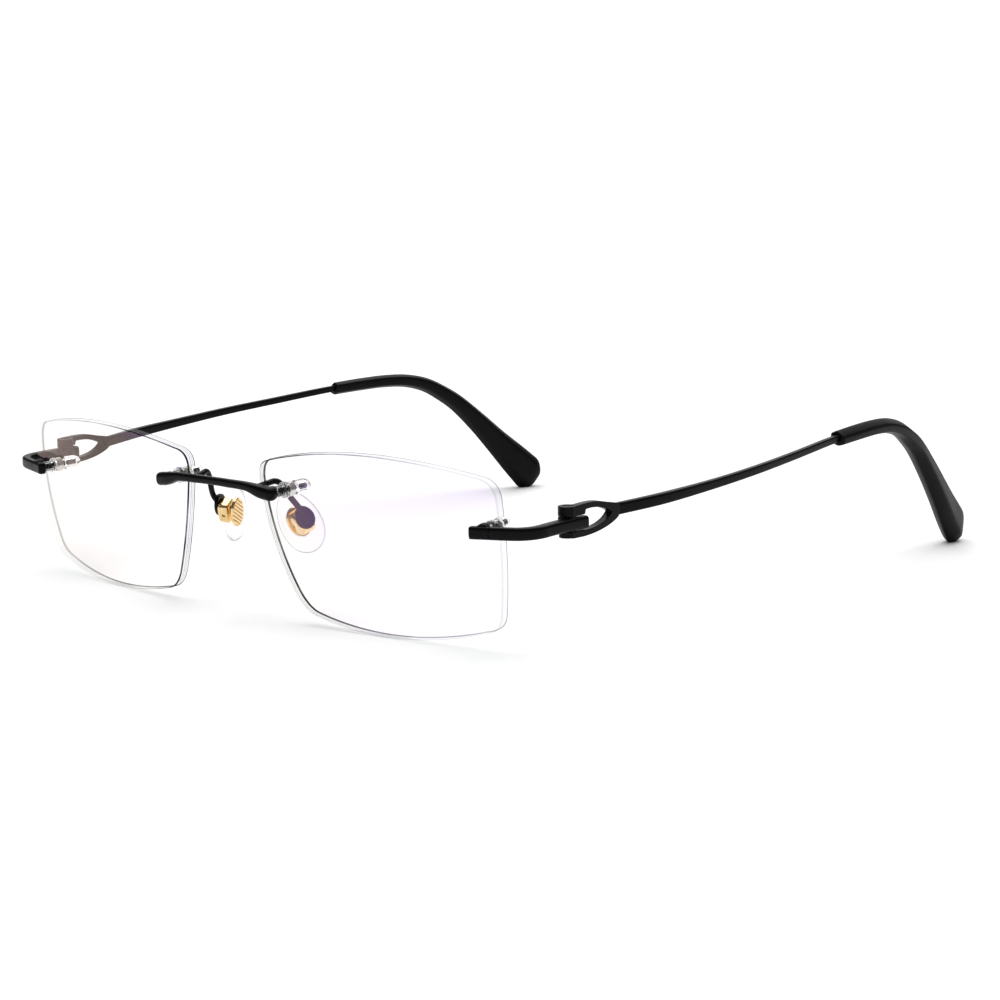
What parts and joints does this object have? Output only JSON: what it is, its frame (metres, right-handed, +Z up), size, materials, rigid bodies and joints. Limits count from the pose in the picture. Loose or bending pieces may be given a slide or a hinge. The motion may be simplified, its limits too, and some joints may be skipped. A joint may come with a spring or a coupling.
{
  "type": "rimless eyeglasses",
  "caption": "Rimless eyeglasses with drilled clear lenses, a slim dark bridge, folding temples with forked hinges, curved tips and adjustable nose pads.",
  "frame": {"origin": "on the table under the middle of the glasses' bounding box", "axes": "+X to the wearer's left, -Y the way the wearer looks, +Z up"},
  "size_m": [0.1474, 0.154, 0.0328],
  "materials": {
    "lens": "clear polished lens with an anti-reflection coating and ground edges",
    "clear_plastic": "clear moulded plastic",
    "black_metal": "satin black coating on metal",
    "steel": "bright machined steel",
    "gold": "gold plated, stamped grooves",
    "silicone": "clear soft silicone",
    "black_plastic": "polished black moulded plastic"
  },
  "bodies": {
    "front": {"bridge": "black_metal", "lens_left": "lens", "nasal_stud_left": "black_metal", "nasal_bushing_left": "clear_plastic", "nasal_washer_left": "clear_plastic", "nasal_nut_left": "steel", "nasal_cap_left": "clear_plastic", "temporal_stud_left": "black_metal", "temporal_bushing_left": "clear_plastic", "temporal_washer_left": "clear_plastic", "temporal_nut_left": "steel", "temporal_cap_left": "clear_plastic", "endpiece_left": "black_metal", "pad_box_left": "gold", "pad_screw_left": "gold", "pad_arm_left": "black_metal", "lens_right": "lens", "nasal_stud_right": "black_metal", "nasal_bushing_right": "clear_plastic", "nasal_washer_right": "clear_plastic", "nasal_nut_right": "steel", "nasal_cap_right": "clear_plastic", "temporal_stud_right": "black_metal", "temporal_bushing_right": "clear_plastic", "temporal_washer_right": "clear_plastic", "temporal_nut_right": "steel", "temporal_cap_right": "clear_plastic", "endpiece_right": "black_metal", "pad_box_right": "gold", "pad_screw_right": "gold", "pad_arm_right": "black_metal"},
    "temple_left": {"temple_fork_left": "black_metal", "hinge_screw_left": "black_metal", "temple_wire_left": "black_metal", "temple_tip_left": "black_plastic"},
    "nose_pad_body_left": {"nose_pad_left": "silicone", "pad_insert_left": "gold"},
    "temple_right": {"temple_fork_right": "black_metal", "hinge_screw_right": "black_metal", "temple_wire_right": "black_metal", "temple_tip_right": "black_plastic"},
    "nose_pad_body_right": {"nose_pad_right": "silicone", "pad_insert_right": "gold"}
  },
  "joints": [
    {"name": "temple_fold_left", "type": "hinge", "parent": "front", "child": "temple_left", "pos_m": [0.0693, -0.05693, 0.0225], "axis": [0, 0, 1], "range_deg": [0, 87]},
    {"name": "temple_fold_right", "type": "hinge", "parent": "front", "child": "temple_right", "pos_m": [-0.0693, -0.05693, 0.0225], "axis": [0, 0, 1], "range_deg": [-80, 0]},
    {"name": "pad_rock_left", "type": "hinge", "parent": "front", "child": "nose_pad_body_left", "pos_m": [0.0105, -0.06383, 0.0169], "axis": [-0.331, -0.832, -0.4453], "range_deg": [-8, 8]},
    {"name": "pad_rock_right", "type": "hinge", "parent": "front", "child": "nose_pad_body_right", "pos_m": [-0.0105, -0.06383, 0.0169], "axis": [-0.331, 0.832, 0.4453], "range_deg": [-8, 8]}
  ]
}
